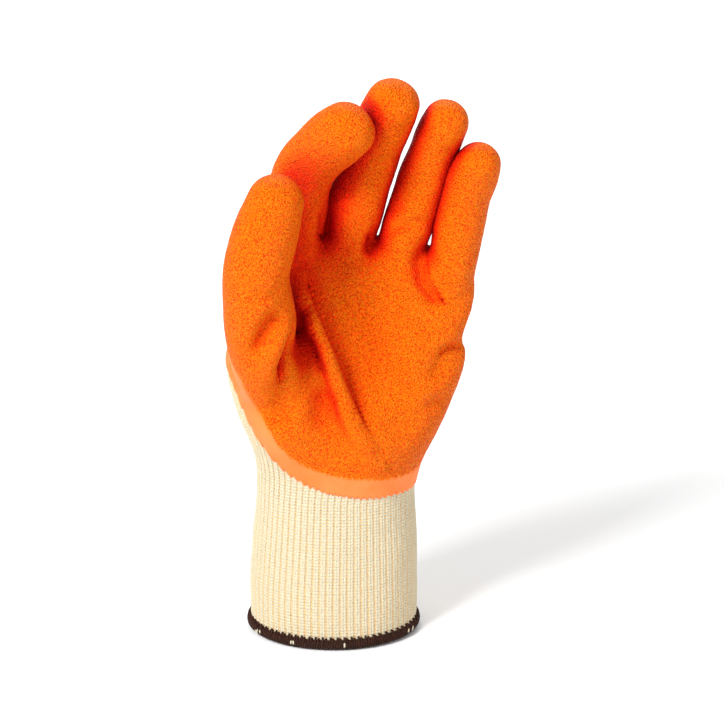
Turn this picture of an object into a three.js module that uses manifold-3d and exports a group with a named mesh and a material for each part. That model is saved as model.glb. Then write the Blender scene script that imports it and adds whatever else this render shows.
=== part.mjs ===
// A left-hand work glove: a seamless knitted liner, dipped in latex over the palm and the fingertips.
// Millimetres, +Z up. The palm faces -Y, the thumb is on the -X side, and the origin is the centre of the
// wrist opening. The glove keeps the form it has on a hand: the wrist upright, the hand cupped, the fingers
// a little curled.
import * as THREE from "three";
import { mergeVertices } from "three/addons/utils/BufferGeometryUtils.js";
import Module from "manifold-3d";

// Walls and the clearance that loose-lying pieces keep.
const KNIT_WALL = 1.5;
const LATEX_WALL = 0.9;
const CLEARANCE = 0.3;

// The ribbed cuff and the overlocked hem round its edge.
const CUFF_LENGTH = 63;
const CUFF_WIDTH = 73;
const CUFF_DEPTH = 58;
const HEM_HEIGHT = 4.4;
const HEM_PROUD = 1.9;
const HEM_SLANT = 0.02;

// The hand between the cuff and the knuckles.
const PALM_LENGTH = 116;
const PALM_WIDTH = 94;
const PALM_DEPTH = 46;

// Half-outlines of the cuff, as shares of its width and depth, by the share of its length above the hem.
const CUFF_SECTIONS = [
  { rise: 0.0, left: 0.507, right: 0.503, front: 0.51, back: 0.5 },
  { rise: 0.3, left: 0.51, right: 0.507, front: 0.492, back: 0.49 },
  { rise: 0.65, left: 0.492, right: 0.503, front: 0.46, back: 0.46 },
  { rise: 1.0, left: 0.462, right: 0.492, front: 0.43, back: 0.44 },
];

// Half-outlines of the hand, as shares of its width and depth, by the share of its length above the cuff.
// wrist says how far the section still follows the cuff.
const PALM_SECTIONS = [
  { rise: 0.0, left: 0.355, right: 0.378, front: 0.5, back: 0.5, wrist: 1.0 },
  { rise: 0.1, left: 0.355, right: 0.425, front: 0.54, back: 0.5, wrist: 0.6 },
  { rise: 0.24, left: 0.402, right: 0.483, front: 0.56, back: 0.5, wrist: 0.1 },
  { rise: 0.4, left: 0.47, right: 0.552, front: 0.52, back: 0.5, wrist: 0.0 },
  { rise: 0.54, left: 0.492, right: 0.606, front: 0.46, back: 0.5, wrist: 0.0 },
  { rise: 0.64, left: 0.44, right: 0.59, front: 0.4, back: 0.49, wrist: 0.0 },
  { rise: 0.78, left: 0.37, right: 0.645, front: 0.27, back: 0.46, wrist: 0.0 },
  { rise: 0.92, left: 0.31, right: 0.64, front: 0.14, back: 0.38, wrist: 0.0 },
  { rise: 1.0, left: 0.27, right: 0.58, front: 0.0, back: 0.24, wrist: 0.0 },
];
// The row of knuckles falls away towards the little finger.
const KNUCKLE_SLANT = 0.12;

// Rounded rises and dips of the palm: their place and reach as shares of its width and length, and their
// height as a share of its depth.
const PALM_MOUNDS = [
  { name: "ball of the thumb", x: -0.29, rise: 0.42, wide: 0.22, long: 0.27, height: 0.3 },
  { name: "heel of the hand", x: 0.3, rise: 0.25, wide: 0.2, long: 0.22, height: 0.08 },
  { name: "hollow", x: 0.14, rise: 0.56, wide: 0.2, long: 0.26, height: -0.2 },
];

// Folds of the palm along straight lines from one place to another, with how far each spreads towards the
// thumb and towards the little finger, as shares of the palm's width.
const PALM_FOLDS = [
  { name: "long fold", x: [-0.17, 0.22], rise: [0.92, 0.2], thumbward: 0.085, littleward: 0.055, height: 0.17 },
  { name: "thumb crease", x: [-0.14, -0.27], rise: [0.68, 0.34], thumbward: 0.05, littleward: 0.05, height: -0.1 },
  { name: "side crease", x: [0.66, 0.42], rise: [0.6, 0.5], thumbward: 0.04, littleward: 0.04, height: -0.08 },
];

// The digits. x, y and rise place the root as shares of the hand's width, depth and length. lean and curl
// are degrees, at the root and at the two joints: lean tips a digit towards +X, curl towards the palm.
// roll turns its back towards the thumb side.
const DIGITS = {
  thumb: {
    length: 126.5, width: 30, depth: 27, x: -0.196, y: -0.13, rise: 0.3,
    lean: [-14.3, 12.3, 20], curl: [28, -18, -10], roll: 45,
  },
  index: {
    length: 79, width: 24.5, depth: 22, x: -0.188, y: 0.04, rise: 0.992,
    lean: [8, 30, 8], curl: [14, 18, 6], roll: 0,
  },
  middle: {
    length: 74, width: 23, depth: 21, x: 0.08, y: 0.08, rise: 1.04,
    lean: [15.4, 4, 0], curl: [7, 16, 12], roll: 0,
  },
  ring: {
    length: 68, width: 19.5, depth: 19.5, x: 0.325, y: 0.07, rise: 1.0,
    lean: [16.2, 3, 0], curl: [6, 14, 11], roll: 0,
  },
  little: {
    length: 63, width: 19.5, depth: 18.5, x: 0.545, y: 0.02, rise: 0.87,
    lean: [9, 4, 2], curl: [6, 13, 10], roll: 0,
  },
};
const JOINTS = [0.42, 0.7];
const JOINT_REACH = 0.16;

// Width and depth along a digit, from its root to the centre of its round tip, as shares of its own size.
const FINGER_GIRTHS = [
  { along: -0.25, width: 0.86, depth: 0.9 },
  { along: 0.0, width: 1.0, depth: 1.03 },
  { along: 0.3, width: 1.0, depth: 1.01 },
  { along: 0.5, width: 0.99, depth: 0.99 },
  { along: 0.68, width: 0.95, depth: 0.94 },
  { along: 0.88, width: 0.98, depth: 0.93 },
  { along: 1.0, width: 0.92, depth: 0.88 },
];
const THUMB_GIRTHS = [
  { along: -0.15, width: 0.6, depth: 0.6 },
  { along: 0.0, width: 0.76, depth: 0.76 },
  { along: 0.24, width: 1.03, depth: 1.01 },
  { along: 0.46, width: 1.03, depth: 1.01 },
  { along: 0.68, width: 0.97, depth: 0.97 },
  { along: 0.88, width: 0.9, depth: 0.9 },
  { along: 1.0, width: 0.78, depth: 0.77 },
];

// Where each knitted digit is joined to the hand, as a share of its length.
const THUMB_SEAM = 0.4;
const FINGER_SEAM = 0.1;
// Where the knitted hand is divided into heel, palm and knuckles, as shares of its length.
const HAND_SEAMS = [0.3, 0.63];

// The edge of the dip across the heel of the hand, from the thumb side to the little finger side, as shares
// of the hand's width and length.
const DIP_EDGE = [
  { x: -0.9, rise: 0.62 },
  { x: -0.5, rise: 0.52 },
  { x: -0.36, rise: 0.31 },
  { x: -0.27, rise: 0.2 },
  { x: -0.18, rise: 0.13 },
  { x: -0.04, rise: 0.075 },
  { x: 0.15, rise: 0.045 },
  { x: 0.4, rise: 0.04 },
  { x: 0.9, rise: 0.04 },
];
// Behind this depth, as a share of the hand's, the back of the hand is bare knit up to the knuckles.
const DIP_BACK = 0.12;
const DIP_KNUCKLES = 0.97;

// The bare strip on the back of a digit: its half width as a share of the digit's, by the share of its length.
const FINGER_STRIP = [
  { along: -0.2, width: 0.52 },
  { along: 0.1, width: 0.5 },
  { along: 0.3, width: 0.4 },
  { along: 0.55, width: 0.34 },
  { along: 0.66, width: 0.26 },
  { along: 0.7, width: 0.16 },
  { along: 0.72, width: 0.03 },
];
const THUMB_STRIP = [
  { along: 0.0, width: 0.62 },
  { along: 0.3, width: 0.5 },
  { along: 0.5, width: 0.42 },
  { along: 0.68, width: 0.34 },
  { along: 0.76, width: 0.24 },
  { along: 0.8, width: 0.14 },
  { along: 0.82, width: 0.03 },
];

const CUFF_SIDES = 24;
const HAND_SIDES = 30;
const HAND_FRONT = 0.62;
const PALM_RINGS = 10;
const DIGIT_SIDES = 12;
const CAP_RINGS = 3;
const SPINE_STEPS = 80;

const radians = THREE.MathUtils.degToRad;
const smooth = THREE.MathUtils.smoothstep;
const wasm = await Module();
wasm.setup();

// A value between the rows of a table, on a smooth curve through them.
function valueAt(rows, key, place, column) {
  const last = rows.length - 1;
  let i = 0;
  while (i < last - 1 && place > rows[i + 1][key]) i++;
  const [a, b] = [rows[i], rows[i + 1]];
  const before = rows[Math.max(i - 1, 0)];
  const after = rows[Math.min(i + 2, last)];
  const span = b[key] - a[key];
  const t = THREE.MathUtils.clamp((place - a[key]) / span, 0, 1);
  const slopeA = ((b[column] - before[column]) / (b[key] - before[key])) * span;
  const slopeB = ((after[column] - a[column]) / (after[key] - a[key])) * span;
  const h = t * t * (3 - 2 * t);
  return a[column] * (1 - h) + b[column] * h + slopeA * t * (1 - t) ** 2 - slopeB * t * t * (1 - t);
}

// A closed skin over rings of points that run the same way round, with a fan across each end.
function solidOf(rings) {
  const sides = rings[0].length;
  const middle = (ring) => ring.reduce((sum, p) => sum.add(p), new THREE.Vector3()).divideScalar(sides);
  const points = [...rings.flat(), middle(rings[0]), middle(rings.at(-1))];
  const faces = [];
  for (let i = 0; i < sides; i++) {
    const j = (i + 1) % sides;
    for (let r = 0; r < rings.length - 1; r++) {
      const [low, high] = [r * sides, (r + 1) * sides];
      faces.push(low + i, low + j, high + i, low + j, high + j, high + i);
    }
    const top = (rings.length - 1) * sides;
    faces.push(j, i, points.length - 2, top + i, top + j, points.length - 1);
  }
  const geometry = new THREE.BufferGeometry().setFromPoints(points);
  geometry.setIndex(faces);
  return manifoldOf(geometry);
}

function manifoldOf(geometry) {
  const bare = geometry.clone();
  bare.deleteAttribute("normal");
  bare.deleteAttribute("uv");
  const merged = mergeVertices(bare, 1e-4);
  return new wasm.Manifold(
    new wasm.Mesh({
      numProp: 3,
      vertProperties: merged.attributes.position.array,
      triVerts: new Uint32Array(merged.index.array),
    }),
  );
}

const joined = (solids) => solids.reduce((a, b) => a.add(b));

// How far the mounds and folds lift the palm at a place on it.
function palmLift(x, rise) {
  let lift = 0;
  for (const mound of PALM_MOUNDS) {
    const across = (x / PALM_WIDTH - mound.x) / mound.wide;
    const along = (rise - mound.rise) / mound.long;
    lift += mound.height * Math.exp(-across * across - along * along);
  }
  for (const fold of PALM_FOLDS) {
    const from = new THREE.Vector2(fold.x[0] * PALM_WIDTH, fold.rise[0] * PALM_LENGTH);
    const line = new THREE.Vector2(fold.x[1] * PALM_WIDTH, fold.rise[1] * PALM_LENGTH).sub(from);
    const offset = new THREE.Vector2(x, rise * PALM_LENGTH).sub(from);
    const along = offset.dot(line) / line.lengthSq();
    const away = line.cross(offset) / line.length() / PALM_WIDTH;
    const spread = away / (away > 0 ? fold.littleward : fold.thumbward);
    const ends = smooth(along, -0.1, 0.25) * (1 - smooth(along, 0.75, 1.1));
    lift += fold.height * ends * Math.exp(-spread * spread);
  }
  return lift * PALM_DEPTH;
}

// A place on the cuff by its share of the length and its angle round it, set out by grow.
function cuffPoint(rise, angle, grow = 0) {
  const [c, s] = [Math.cos(angle), Math.sin(angle)];
  const size = (column, whole) => valueAt(CUFF_SECTIONS, "rise", rise, column) * whole + grow;
  const x = c * size(c > 0 ? "right" : "left", CUFF_WIDTH);
  const y = s * size(s > 0 ? "back" : "front", CUFF_DEPTH);
  return new THREE.Vector3(x, y, rise * CUFF_LENGTH + y * HEM_SLANT * (1 - rise));
}

function cuffRing(rise, grow) {
  const ring = [];
  for (let i = 0; i < CUFF_SIDES; i++) ring.push(cuffPoint(rise, (i / CUFF_SIDES) * 2 * Math.PI, grow));
  return ring;
}

// A place on the hand by its share of the length and its angle round it. Near the wrist it follows the cuff.
function palmPoint(rise, angle) {
  const value = (column) => valueAt(PALM_SECTIONS, "rise", rise, column);
  const [c, s] = [Math.cos(angle), Math.sin(angle)];
  const x = c * value(c > 0 ? "right" : "left") * PALM_WIDTH;
  let y = s * value(s > 0 ? "back" : "front") * PALM_DEPTH;
  if (s < 0) y -= palmLift(x, rise) * Math.cbrt(-s);
  const z = CUFF_LENGTH + rise * PALM_LENGTH * (1 - (KNUCKLE_SLANT * rise * rise * x) / PALM_WIDTH);
  return new THREE.Vector3(x, y, z).lerp(cuffPoint(1, angle).setZ(z), value("wrist"));
}

// One ring of the hand, set out by grow square to its surface.
function palmRing(rise, grow) {
  const ring = [];
  for (let i = 0; i < HAND_SIDES; i++) {
    const share = i / HAND_SIDES;
    const turned = share < 1 - HAND_FRONT ? share / (1 - HAND_FRONT) : 1 + (share - 1 + HAND_FRONT) / HAND_FRONT;
    const angle = turned * Math.PI;
    const round = palmPoint(rise, angle + 0.02).sub(palmPoint(rise, angle - 0.02));
    const up = palmPoint(rise + 0.01, angle).sub(palmPoint(rise - 0.01, angle));
    const out = round.cross(up).normalize();
    ring.push(palmPoint(rise, angle).addScaledVector(out, grow));
  }
  return ring;
}

// The way a digit runs: a frame at each of many even steps from its root to its tip.
function spineOf(digit) {
  const bend = ([root, first, second], share) =>
    radians(
      root +
        first * smooth(share, JOINTS[0] - JOINT_REACH, JOINTS[0] + JOINT_REACH) +
        second * smooth(share, JOINTS[1] - JOINT_REACH, JOINTS[1] + JOINT_REACH),
    );
  const at = new THREE.Vector3(
    digit.x * PALM_WIDTH,
    digit.y * PALM_DEPTH,
    CUFF_LENGTH + digit.rise * PALM_LENGTH,
  );
  const frames = [];
  for (let i = 0; i <= SPINE_STEPS; i++) {
    const lean = bend(digit.lean, i / SPINE_STEPS);
    const curl = bend(digit.curl, i / SPINE_STEPS);
    const along = new THREE.Vector3(
      Math.sin(lean) * Math.cos(curl),
      -Math.sin(curl),
      Math.cos(lean) * Math.cos(curl),
    );
    const side = new THREE.Vector3(Math.cos(lean), 0, -Math.sin(lean));
    side.applyAxisAngle(along, radians(digit.roll));
    frames.push({ at: at.clone(), along, side, back: along.clone().cross(side) });
    at.addScaledVector(along, digit.length / SPINE_STEPS);
  }
  return frames;
}

// The frame at a distance along a digit, straight on past its root and its tip.
function frameAt(digit, distance) {
  const step = digit.length / SPINE_STEPS;
  const i = THREE.MathUtils.clamp(Math.round(distance / step), 0, SPINE_STEPS);
  const frame = digit.spine[i];
  return { ...frame, at: frame.at.clone().addScaledVector(frame.along, distance - i * step) };
}

// An oval ring across a digit, set off from its spine towards its back.
function digitRing(digit, distance, width, depth, offset = 0) {
  const frame = frameAt(digit, distance);
  const ring = [];
  for (let i = 0; i < DIGIT_SIDES; i++) {
    const angle = (i / DIGIT_SIDES) * 2 * Math.PI;
    ring.push(
      frame.at
        .clone()
        .addScaledVector(frame.side, (Math.cos(angle) * width) / 2)
        .addScaledVector(frame.back, (Math.sin(angle) * depth) / 2 + offset),
    );
  }
  return ring;
}

// The rings of a digit from a distance along it, to a second one or to its round tip, grown by grow.
function digitRings(digit, grow, from, to = Infinity) {
  const tipRadius = (digit.girths.at(-1).depth * digit.depth) / 2;
  const reach = digit.length - tipRadius;
  const size = (distance, column) =>
    valueAt(digit.girths, "along", distance / reach, column) * digit[column] + 2 * grow;
  const ringAt = (distance) => digitRing(digit, distance, size(distance, "width"), size(distance, "depth"));
  const stations = [...digit.girths.map((row) => row.along * reach), digit.seam].sort((a, b) => a - b);
  const between = stations.filter((distance) => distance > from + 1 && distance < to - 1);
  const rings = [ringAt(from), ...between.map(ringAt)];
  if (to < reach) return [...rings, ringAt(to)];
  for (let i = 1; i <= CAP_RINGS; i++) {
    const angle = (i / (CAP_RINGS + 0.5)) * (Math.PI / 2);
    const across = Math.cos(angle);
    const ahead = reach + Math.sin(angle) * (tipRadius + grow);
    rings.push(digitRing(digit, ahead, size(reach, "width") * across, size(reach, "depth") * across));
  }
  return rings;
}

const digits = Object.entries(DIGITS).map(([name, size]) => {
  const isThumb = name === "thumb";
  const digit = { ...size, name, girths: isThumb ? THUMB_GIRTHS : FINGER_GIRTHS };
  digit.spine = spineOf(digit);
  digit.seam = (isThumb ? THUMB_SEAM : FINGER_SEAM) * digit.length;
  digit.root = digit.girths[0].along * digit.length;
  digit.strip = isThumb ? THUMB_STRIP : FINGER_STRIP;
  return digit;
});

// The hand from a share of its length up to the knuckles, grown by grow.
function palmSolid(grow, from) {
  const rings = [palmRing(from, grow)];
  for (let i = 1; i <= PALM_RINGS; i++) rings.push(palmRing(i / PALM_RINGS, grow));
  for (const point of rings.at(-1)) point.z += grow;
  return solidOf(rings);
}

function cuffSolid(grow, from, to) {
  const rises = [from, 0.22, 0.48, 0.74, to];
  return solidOf(rises.map((rise) => cuffRing(rise, grow)));
}

// The ribbed cuff: a knitted tube, open at both ends.
function knitCuff() {
  const seat = (HEM_HEIGHT / CUFF_LENGTH) * 0.3;
  const end = 1 - CLEARANCE / 2 / CUFF_LENGTH;
  return cuffSolid(0, seat, end).subtract(cuffSolid(-KNIT_WALL, seat - 0.1, end + 0.1));
}

// The overlocked hem: a round binding that the edge of the cuff sits in.
function hemBinding() {
  const height = HEM_HEIGHT / CUFF_LENGTH;
  const binding = (grow, inset) =>
    solidOf([
      cuffRing(0, grow - inset),
      cuffRing(height * 0.25, grow),
      cuffRing(height * 0.75, grow),
      cuffRing(height, grow - inset),
    ]);
  const seat = height * 0.3 - CLEARANCE / CUFF_LENGTH;
  const groove = cuffSolid(CLEARANCE, seat, 1).subtract(cuffSolid(-KNIT_WALL - CLEARANCE, seat - 0.1, 1.1));
  const inner = solidOf([-0.1, 0, height * 0.25, height * 0.75, height, height + 0.1].map((rise, i) =>
    cuffRing(rise, -KNIT_WALL - (i < 2 || i > 3 ? HEM_PROUD * 0.3 : HEM_PROUD)),
  ));
  return binding(HEM_PROUD, HEM_PROUD * 0.7).subtract(inner).subtract(groove);
}

// The knitted hand: palm and back in one, with a short collar where each digit is joined on.
function knitHand() {
  const start = CLEARANCE / 2 / PALM_LENGTH;
  const collars = (grow, past) =>
    digits.map((digit) => solidOf(digitRings(digit, grow, digit.root, digit.seam - CLEARANCE / 2 + past)));
  const outer = joined([palmSolid(0, start), ...collars(0, 0)]);
  const inner = joined([palmSolid(-KNIT_WALL, -0.01), ...collars(-KNIT_WALL, 2)]);
  return outer.subtract(inner);
}

// The stretch of a solid between two shares of the hand's length, short of each by half the clearance.
function stretchOf(solid, from, to) {
  const height = (to - from) * PALM_LENGTH - CLEARANCE;
  const block = new THREE.BoxGeometry(4 * PALM_WIDTH, 4 * PALM_WIDTH, height);
  block.translate(0, 0, CUFF_LENGTH + ((from + to) / 2) * PALM_LENGTH);
  return solid.intersect(manifoldOf(block));
}

// One knitted digit: a tube with a round closed tip.
function knitDigit(digit) {
  const from = digit.seam + CLEARANCE / 2;
  const tube = solidOf(digitRings(digit, 0, from)).subtract(solidOf(digitRings(digit, -KNIT_WALL, from - 2)));
  const others = digits
    .filter((other) => other !== digit)
    .map((other) => solidOf(digitRings(other, CLEARANCE, other.root, other.seam + CLEARANCE)));
  return tube.subtract(joined([palmSolid(CLEARANCE, 0), ...others]));
}

// Everything that stays bare of latex.
function bareKnit() {
  const reach = PALM_WIDTH * 2;
  const place = ({ x, rise }) => new THREE.Vector2(x * PALM_WIDTH, CUFF_LENGTH + rise * PALM_LENGTH);
  const slab = (points, from, to) => {
    const geometry = new THREE.ExtrudeGeometry(new THREE.Shape(points), { depth: to - from, bevelEnabled: false });
    return manifoldOf(geometry.rotateX(Math.PI / 2).translate(0, to, 0));
  };
  const edge = new THREE.SplineCurve(DIP_EDGE.map(place)).getPoints(24);
  const heel = slab([...edge, new THREE.Vector2(reach, -reach), new THREE.Vector2(-reach, -reach)], -reach, reach);
  const top = CUFF_LENGTH + DIP_KNUCKLES * PALM_LENGTH;
  const back = slab(
    [new THREE.Vector2(-reach, -reach), new THREE.Vector2(reach, -reach), new THREE.Vector2(reach, top), new THREE.Vector2(-reach, top)],
    DIP_BACK * PALM_DEPTH,
    reach,
  );
  const strips = digits.map((digit) =>
    solidOf(
      digit.strip.map(({ along, width }) =>
        digitRing(digit, along * digit.length, 2 * width * digit.width, 1.3 * digit.depth, 0.9 * digit.depth),
      ),
    ),
  );
  return joined([heel, back, ...strips]);
}

// The latex: one skin over the palm, round the sides of the digits and over their tips.
function latexCoating() {
  const glove = (grow) =>
    joined([palmSolid(grow, 0), ...digits.map((digit) => solidOf(digitRings(digit, grow, digit.root - grow)))]);
  return glove(CLEARANCE + LATEX_WALL).subtract(glove(CLEARANCE)).subtract(bareKnit());
}

const latex = new THREE.MeshStandardMaterial({ color: 0xf26a14, roughness: 0.75, metalness: 0 });
const knit = new THREE.MeshStandardMaterial({ color: 0xefe3b9, roughness: 0.95, metalness: 0 });
const binding = new THREE.MeshStandardMaterial({ color: 0x3a2420, roughness: 0.95, metalness: 0 });

const glove = new THREE.Group();
function addPiece(name, solid, material) {
  const { vertProperties, triVerts } = solid.getMesh();
  const geometry = new THREE.BufferGeometry();
  geometry.setAttribute("position", new THREE.BufferAttribute(vertProperties, 3));
  geometry.setIndex(new THREE.BufferAttribute(triVerts, 1));
  geometry.computeVertexNormals();
  const mesh = new THREE.Mesh(geometry, material);
  mesh.name = name;
  glove.add(mesh);
}

addPiece("hem_binding", hemBinding(), binding);
addPiece("knit_cuff", knitCuff(), knit);
const hand = knitHand();
addPiece("knit_heel", stretchOf(hand, -1, HAND_SEAMS[0]), knit);
addPiece("knit_palm", stretchOf(hand, HAND_SEAMS[0], HAND_SEAMS[1]), knit);
addPiece("knit_knuckles", stretchOf(hand, HAND_SEAMS[1], 2), knit);
for (const digit of digits) addPiece("knit_" + digit.name, knitDigit(digit), knit);
addPiece("latex_coating", latexCoating(), latex);

export default glove;
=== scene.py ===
"""A left-hand work glove: knitted in cream yarn, dipped in orange latex, and standing in its worn form."""

import math

import bpy
import numpy as np
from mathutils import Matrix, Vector, noise
from mathutils.bvhtree import BVHTree
from mathutils.kdtree import KDTree


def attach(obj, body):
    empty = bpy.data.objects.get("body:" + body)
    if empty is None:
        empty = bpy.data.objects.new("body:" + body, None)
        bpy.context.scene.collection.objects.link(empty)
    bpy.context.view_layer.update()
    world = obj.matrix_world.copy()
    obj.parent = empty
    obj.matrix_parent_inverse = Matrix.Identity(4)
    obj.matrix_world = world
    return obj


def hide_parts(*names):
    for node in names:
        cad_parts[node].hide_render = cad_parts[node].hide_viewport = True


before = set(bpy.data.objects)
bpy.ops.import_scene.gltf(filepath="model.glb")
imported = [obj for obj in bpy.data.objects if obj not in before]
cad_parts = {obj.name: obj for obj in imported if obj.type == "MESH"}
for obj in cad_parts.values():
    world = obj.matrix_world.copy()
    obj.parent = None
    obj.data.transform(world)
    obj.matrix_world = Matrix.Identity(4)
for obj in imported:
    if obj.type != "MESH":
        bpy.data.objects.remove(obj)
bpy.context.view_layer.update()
chance = np.random.default_rng(11)

# The form of the glove: the cuff, the hand and the digits as smooth tubes, in millimetres. It comes from the
# hand inside, and the knit, the latex and the hem are all laid on it. The sizes are those of the solids.
CUFF_LENGTH, CUFF_WIDTH, CUFF_DEPTH, HEM_SLANT = 63.0, 73.0, 58.0, 0.02
HAND_LENGTH, HAND_WIDTH, HAND_DEPTH, KNUCKLE_SLANT = 116.0, 94.0, 46.0, 0.12
# rise, left, right, front, back
CUFF_SECTIONS = np.array([
    (0.0, 0.507, 0.503, 0.51, 0.5),
    (0.3, 0.51, 0.507, 0.492, 0.49),
    (0.65, 0.492, 0.503, 0.46, 0.46),
    (1.0, 0.462, 0.492, 0.43, 0.44),
])
# rise, left, right, front, back, share of the cuff's form
HAND_SECTIONS = np.array([
    (0.0, 0.355, 0.378, 0.5, 0.5, 1.0),
    (0.1, 0.355, 0.425, 0.54, 0.5, 0.6),
    (0.24, 0.402, 0.483, 0.56, 0.5, 0.1),
    (0.4, 0.47, 0.552, 0.52, 0.5, 0.0),
    (0.54, 0.492, 0.606, 0.46, 0.5, 0.0),
    (0.64, 0.44, 0.59, 0.4, 0.49, 0.0),
    (0.78, 0.37, 0.645, 0.27, 0.46, 0.0),
    (0.92, 0.31, 0.64, 0.14, 0.38, 0.0),
    (1.0, 0.27, 0.58, 0.0, 0.24, 0.0),
])
# x, rise, wide, long, height: the ball of the thumb, the heel of the hand, the hollow
PALM_MOUNDS = [
    (-0.29, 0.42, 0.22, 0.27, 0.3),
    (0.3, 0.25, 0.2, 0.22, 0.08),
    (0.14, 0.56, 0.2, 0.26, -0.2),
]
# from x, to x, from rise, to rise, spread thumbward, spread littleward, height
PALM_FOLDS = [
    (-0.17, 0.22, 0.92, 0.2, 0.085, 0.055, 0.17),
    (-0.14, -0.27, 0.68, 0.34, 0.05, 0.05, -0.1),
    (0.66, 0.42, 0.6, 0.5, 0.04, 0.04, -0.08),
]
# length, width, depth, x, y, rise, three leans, three curls, roll
DIGITS = {
    "thumb": (126.5, 30.0, 27.0, -0.196, -0.13, 0.3, (-14.3, 12.3, 20), (28, -18, -10), 45),
    "index": (79.0, 24.5, 22.0, -0.188, 0.04, 0.992, (8, 30, 8), (14, 18, 6), 0),
    "middle": (74.0, 23.0, 21.0, 0.08, 0.08, 1.04, (15.4, 4, 0), (7, 16, 12), 0),
    "ring": (68.0, 19.5, 19.5, 0.325, 0.07, 1.0, (16.2, 3, 0), (6, 14, 11), 0),
    "little": (63.0, 19.5, 18.5, 0.545, 0.02, 0.87, (9, 4, 2), (6, 13, 10), 0),
}
# along, width, depth
FINGER_GIRTHS = np.array([
    (-0.25, 0.86, 0.9), (0.0, 1.0, 1.03), (0.3, 1.0, 1.01), (0.5, 0.99, 0.99), (0.68, 0.95, 0.94),
    (0.88, 0.98, 0.93), (1.0, 0.92, 0.88),
])
THUMB_GIRTHS = np.array([
    (-0.15, 0.6, 0.6), (0.0, 0.76, 0.76), (0.24, 1.03, 1.01), (0.46, 1.03, 1.01), (0.68, 0.97, 0.97),
    (0.88, 0.9, 0.9), (1.0, 0.78, 0.77),
])


def from_table(rows, place, column):
    """A column of a table at places between its rows, on a smooth curve."""
    keys, values = rows[:, 0], rows[:, column]
    i = np.clip(np.searchsorted(keys, place, side="right") - 1, 0, len(keys) - 2)
    low, high = np.maximum(i - 1, 0), np.minimum(i + 2, len(keys) - 1)
    span = keys[i + 1] - keys[i]
    t = np.clip((place - keys[i]) / span, 0, 1)
    slope_a = (values[i + 1] - values[low]) / (keys[i + 1] - keys[low]) * span
    slope_b = (values[high] - values[i]) / (keys[high] - keys[i]) * span
    blend = t * t * (3 - 2 * t)
    return (values[i] * (1 - blend) + values[i + 1] * blend
            + slope_a * t * (1 - t) ** 2 - slope_b * t * t * (1 - t))


def ease(value, low, high):
    """0 up to low, 1 from high on, and smooth between them."""
    t = np.clip((value - low) / (high - low), 0, 1)
    return t * t * (3 - 2 * t)


def palm_lift(x, rise):
    """How far the palm stands out from the plain form of the hand, through its mounds and folds."""
    lift = np.zeros_like(x)
    for at_x, at_rise, wide, long, height in PALM_MOUNDS:
        lift += height * np.exp(-((x / HAND_WIDTH - at_x) / wide) ** 2 - ((rise - at_rise) / long) ** 2)
    for x0, x1, rise0, rise1, thumbward, littleward, height in PALM_FOLDS:
        line = np.array([(x1 - x0) * HAND_WIDTH, (rise1 - rise0) * HAND_LENGTH])
        off_x, off_z = x - x0 * HAND_WIDTH, (rise - rise0) * HAND_LENGTH
        along = (off_x * line[0] + off_z * line[1]) / (line @ line)
        away = (line[0] * off_z - line[1] * off_x) / np.sqrt(line @ line) / HAND_WIDTH
        spread = away / np.where(away > 0, littleward, thumbward)
        lift += height * ease(along, -0.1, 0.25) * (1 - ease(along, 0.75, 1.1)) * np.exp(-spread ** 2)
    return lift * HAND_DEPTH


def trunk_form(rise, angle):
    """Points of the cuff, at rises from -1 to 0, and of the hand above it, at rises from 0 to 1."""
    cos, sin = np.cos(angle), np.sin(angle)

    def section(rows, place, width, depth):
        """A cross section, with a half size of its own to the left, right, front and back."""
        x = cos * np.where(cos > 0, from_table(rows, place, 2), from_table(rows, place, 1)) * width
        y = sin * np.where(sin > 0, from_table(rows, place, 4), from_table(rows, place, 3)) * depth
        return x, y

    cuff_x, cuff_y = section(CUFF_SECTIONS, np.clip(rise + 1, 0, 1), CUFF_WIDTH, CUFF_DEPTH)
    cuff_z = (rise + 1) * CUFF_LENGTH + cuff_y * HEM_SLANT * np.clip(-rise, 0, 2)
    up = np.clip(rise, 0, 1)
    x, y = section(HAND_SECTIONS, up, HAND_WIDTH, HAND_DEPTH)
    y = np.where(sin < 0, y - palm_lift(x, up) * np.cbrt(np.maximum(-sin, 0)), y)
    z = CUFF_LENGTH + up * HAND_LENGTH * (1 - KNUCKLE_SLANT * up * up * x / HAND_WIDTH)
    share = from_table(HAND_SECTIONS, up, 5)
    x, y = x + (cuff_x - x) * share, y + (cuff_y - y) * share
    return np.stack([np.where(rise < 0, cuff_x, x), np.where(rise < 0, cuff_y, y),
                     np.where(rise < 0, cuff_z, z)], -1)


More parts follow.
